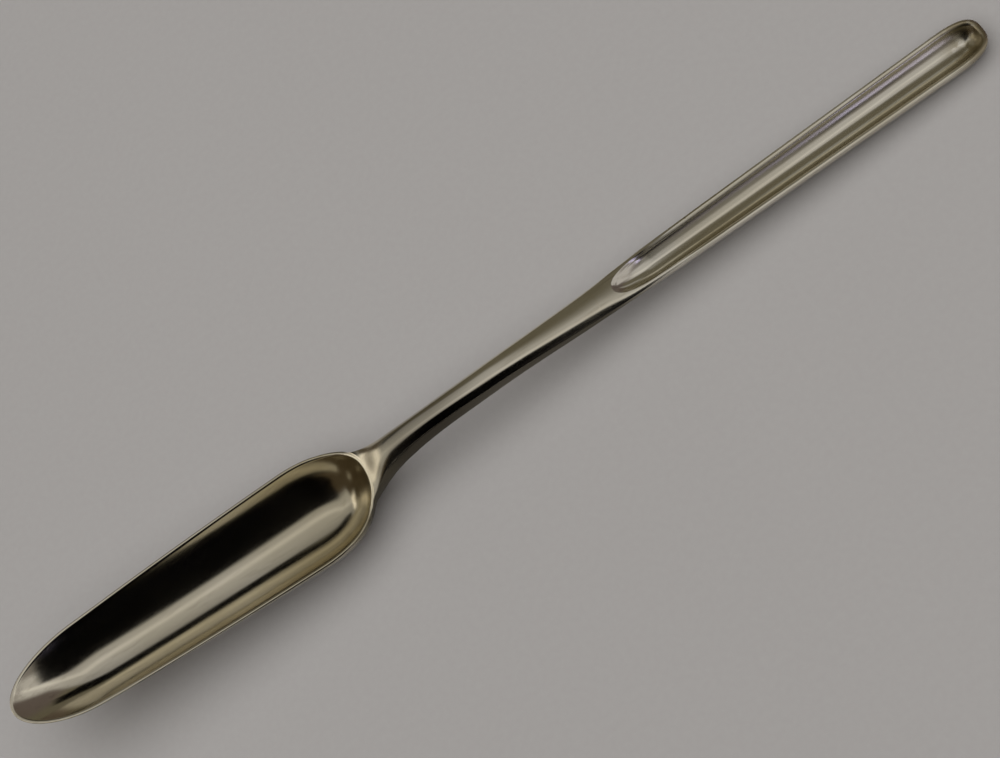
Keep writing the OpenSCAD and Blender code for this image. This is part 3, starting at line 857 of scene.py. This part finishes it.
def silver_material():
    """Old silver: bright on the bowl, softer on the narrow scoop, with tarnish where it is hard to rub, and
    painted shade on the shank just behind the heel.
    """
    material, tree, shader = new_material("Silver")
    where, x, _ = place(tree)
    cloud = fade(tree, noise(tree, where, CLOUD_GRAIN, CLOUD_STRETCH), *CLOUD_FADE)
    line = fade(tree, noise(tree, where, LINE_GRAIN, LINE_STRETCH), *LINE_FADE)
    streak = streaks(tree, where)
    speck = pits(tree, where)
    dent = noise(tree, where, DENT_GRAIN, CLOUD_STRETCH)
    # shade is painted shade: a darker band on the shank just behind the heel
    wear_and_shade_bands = (HEEL_WEAR, WALL_WEAR, NECK_WEAR, NECK_PAINTED_SHADE)
    heel, wall, neck, shade = (between(tree, x, places) for places in wear_and_shade_bands)
    stain = both(tree, wall, fade(tree, noise(tree, where, STAIN_GRAIN), *STAIN_FADE))
    satin = fade(tree, x, *SATIN_START)
    olive = both(tree, fade(tree, x, *OLIVE_START), fade(tree, noise(tree, where, OLIVE_GRAIN), *OLIVE_FADE))
    tinges = (
        (cloud, CLOUD_TINGE, TARNISH_TINT), (line, LINE_TINGE, LINE_TINT), (heel, HEEL_TINGE, BEIGE_TINT),
        (stain, STAIN_TINGE, OLIVE_TINT), (neck, NECK_TINGE, TARNISH_TINT), (shade, PAINTED_SHADE_TINGE, PAINTED_SHADE_TINT),
        (olive, OLIVE_TINGE, OLIVE_TINT), (speck, PIT_TINGE, PIT_TINT),
    )
    colour = blend(tree, satin, SILVER_TINT, SATIN_TINT)
    for share, tinge, tint in tinges:
        colour = blend(tree, math_of(tree, "MULTIPLY", share, tinge), colour, tint)
    tree.links.new(colour, shader.inputs["Base Color"])
    rough = total(
        tree, POLISH, (CLOUD_ROUGH, cloud), (STREAK_ROUGH, streak), (SATIN_ROUGH, satin), (WALL_ROUGH, wall),
        (NECK_ROUGH, neck), (OLIVE_ROUGH, olive),
    )
    tree.links.new(rough, shader.inputs["Roughness"])
    height = total(tree, 0, (STREAK_RELIEF, streak), (PIT_RELIEF, speck), (DENT_RELIEF, dent))
    raise_relief(tree, shader, height, METAL_RELIEF)
    shader.inputs["Metallic"].default_value = 1
    return material


def solder_material():
    """Hard solder, filed flush, a little more tarnished than the silver."""
    material, tree, shader = new_material("Solder")
    where = place(tree)[0]
    cloud = fade(tree, noise(tree, where, SOLDER_GRAIN), *CLOUD_FADE)
    streak = streaks(tree, where)
    tree.links.new(blend(tree, cloud, SOLDER_TINT, TARNISH_TINT), shader.inputs["Base Color"])
    rough = total(tree, POLISH, (SOLDER_ROUGH, cloud), (STREAK_ROUGH, streak))
    tree.links.new(rough, shader.inputs["Roughness"])
    raise_relief(tree, shader, streak, METAL_RELIEF)
    shader.inputs["Metallic"].default_value = 1
    return material


def floor_material():
    """Pale board with a faint grain."""
    material, tree, shader = new_material("Floor")
    where = place(tree)[0]
    grain = noise(tree, where, FLOOR_GRAIN, detail=FLOOR_DETAIL)
    cloud = noise(tree, where, FLOOR_CLOUD_GRAIN)
    shade = math_of(tree, "MULTIPLY", math_of(tree, "ADD", grain, cloud), 1 / 2)
    tree.links.new(blend(tree, shade, FLOOR_TINT, FLOOR_SHADE), shader.inputs["Base Color"])
    rough = total(tree, FLOOR_ROUGH, (FLOOR_GRAIN_ROUGH, grain))
    tree.links.new(rough, shader.inputs["Roughness"])
    raise_relief(tree, shader, grain, FLOOR_RELIEF)
    return material


# Studio


def put_on_stage(name, mesh):
    sheet = bpy.data.objects.new(name, mesh)
    bpy.context.scene.collection.objects.link(sheet)
    return sheet


def sheet_mesh(name, corners, material):
    mesh = bpy.data.meshes.new(name)
    mesh.from_pydata(corners, [], [list(range(len(corners)))])
    mesh.materials.append(material)
    return mesh


def hang(name, mesh):
    """Puts up a sheet that only the metal's reflections show."""
    sheet = put_on_stage(name, mesh)
    sheet.visible_camera = False
    sheet.visible_diffuse = False
    sheet.visible_shadow = False


def make_floor():
    signs = ((-1, -1), (1, -1), (1, 1), (-1, 1))
    corners = [(x * FLOOR_HALF, y * FLOOR_HALF, 0) for x, y in signs]
    put_on_stage("Floor", sheet_mesh("Floor", corners, floor_material()))


def light_shader(tree, lit, colour, level):
    """Light where lit is 1, and nothing where it is 0."""
    light = add(tree, "ShaderNodeEmission", Color=colour, Strength=level)
    clear = add(tree, "ShaderNodeBsdfTransparent")
    mixed = add(tree, "ShaderNodeMixShader", i0=lit, i1=clear.outputs[0], i2=light.outputs[0])
    tree.links.new(mixed.outputs[0], tree.nodes["Material Output"].inputs["Surface"])


def softbox_material():
    """A lit sheet with soft edges, dimmer on its far side, and with a brighter tube along it."""
    material, tree, shader = new_material("Softbox")
    tree.nodes.remove(shader)
    _, x, y = place(tree)
    spread = math_of(tree, "MULTIPLY_ADD", math_of(tree, "MAXIMUM", x, 0), BOX_SPREAD, BOX_NEAR)
    near = math_of(tree, "SUBTRACT", y, math_of(tree, "MAXIMUM", spread, BOX_NEAREST))
    draw = math_of(tree, "MULTIPLY_ADD", x, BOX_DRAW, BOX_FAR)
    far = math_of(tree, "SUBTRACT", y, math_of(tree, "MAXIMUM", draw, BOX_NARROWEST))
    beside = math_of(tree, "SUBTRACT", math_of(tree, "MULTIPLY_ADD", x, -TUBE_SLOPE, y), TUBE_Y)
    tube = fade(tree, math_of(tree, "ABSOLUTE", beside), TUBE_HALF, 0)
    lit = both(tree, fade(tree, near, -BOX_SOFT, BOX_SOFT), fade(tree, far, BOX_SOFT, -BOX_SOFT))
    lit = both(tree, lit, fade(tree, x, *BOX_END_X))
    dim, lift = fade(tree, y, *BOX_DIM_Y), fade(tree, x, *BOX_LIFT_X)
    level = total(tree, BOX_LEVEL, (-BOX_DIM, dim), (BOX_LIFT, lift), (TUBE_GLOW, tube))
    light_shader(tree, lit, BOX_TINT, level)
    return material


def card_material(name, colour, level):
    """Light that fades out with the mesh's share."""
    material, tree, shader = new_material(name)
    tree.nodes.remove(shader)
    share = add(tree, "ShaderNodeAttribute", _attribute_name="share").outputs["Fac"]
    light_shader(tree, fade(tree, share, 0, 1), colour, level)
    return material


def make_softbox():
    (start, end), (near, far) = BOX_X, BOX_Y
    corners = [(start, near, BOX_Z), (end, near, BOX_Z), (end, far, BOX_Z), (start, far, BOX_Z)]
    hang("Softbox", sheet_mesh("Softbox", corners, softbox_material()))


def widened(corners, by):
    """A flat outline moved outwards."""
    p = np.array(corners, float)
    after = np.roll(p, -1, 0)
    ahead = after - p
    normal = np.stack([ahead[:, 1], -ahead[:, 0]], 1) / np.linalg.norm(ahead, axis=1)[:, None]
    normal *= np.sign((p[:, 0] * after[:, 1] - after[:, 0] * p[:, 1]).sum())
    before = np.roll(normal, 1, 0)
    return p + by * (normal + before) / (1 + (normal * before).sum(1))[:, None]


def make_card(name, axis, at, soft, level, colour, corners):
    """A flat card that faces one axis, and whose edges melt away."""
    count = len(corners)
    spots = [*map(list, corners), *widened(corners, soft).tolist()]
    for spot in spots:
        spot.insert("xyz".index(axis), at)
    sides = [[i, (i + 1) % count, count + (i + 1) % count, count + i] for i in range(count)]
    mesh = bpy.data.meshes.new(name)
    mesh.from_pydata(spots, [], [list(range(count)), *sides])
    share = mesh.attributes.new("share", "FLOAT", "POINT")
    share.data.foreach_set("value", [1.0] * count + [0.0] * count)
    mesh.materials.append(card_material(name, colour, level))
    hang(name, mesh)


def make_cards():
    for name, card in CARDS.items():
        make_card(name, *card)


def make_key():
    """The lamp that lights the floor, aimed at the middle of the table."""
    data = bpy.data.lights.new("Key", "AREA")
    data.shape = "DISK"
    data.size = KEY_SIZE
    data.energy = KEY_WATTS
    key = bpy.data.objects.new("Key", data)
    key.location = KEY_PLACE
    key.rotation_mode = "QUATERNION"
    key.rotation_quaternion = (-KEY_PLACE).to_track_quat("-Z", "Y")
    key.visible_glossy = False
    bpy.context.scene.collection.objects.link(key)


def make_world():
    """The room that the metal mirrors between the cards, coloured by direction."""
    world = bpy.data.worlds.new("Studio")
    world.use_nodes = True
    tree = world.node_tree
    toward = add(tree, "ShaderNodeTexCoord").outputs["Generated"]
    parts = add(tree, "ShaderNodeSeparateXYZ", Vector=toward).outputs
    x, y = parts["X"], parts["Y"]
    sky = both(tree, fade(tree, x, *SKY_X), fade(tree, y, *SKY_Y))
    colour = blend(tree, fade(tree, x, *DUSK_X), ROOM_TINT, DUSK_TINT)
    colour = blend(tree, sky, colour, SKY_TINT)
    colour = blend(tree, fade(tree, x, *BROWN_X), colour, BROWN_TINT)
    tree.links.new(colour, tree.nodes["Background"].inputs["Color"])
    bpy.context.scene.world = world


def make_camera():
    data = bpy.data.cameras.new("Camera")
    data.lens = CAMERA_LENS
    data.clip_start = CAMERA_CLIP
    camera = bpy.data.objects.new("Camera", data)
    flat, height = math.cos(CAMERA_ELEVATION), math.sin(CAMERA_ELEVATION)
    back = Vector((math.sin(CAMERA_AZIMUTH) * flat, -math.cos(CAMERA_AZIMUTH) * flat, height))
    camera.location = CAMERA_AIM + back * CAMERA_DISTANCE
    camera.rotation_mode = "QUATERNION"
    camera.rotation_quaternion = (-back).to_track_quat("-Z", "Y") @ Quaternion((0, 0, 1), CAMERA_ROLL)
    bpy.context.scene.collection.objects.link(camera)
    bpy.context.scene.camera = camera


make_camera()
silver, solder = silver_material(), solder_material()
make_large_scoop(silver)
make_shank(silver)
make_narrow_scoop(silver)
make_heel_solder(solder)
make_scarf_solder(solder)
make_floor()
make_softbox()
make_cards()
make_key()
make_world()
bpy.context.scene.view_settings.view_transform = "Standard"
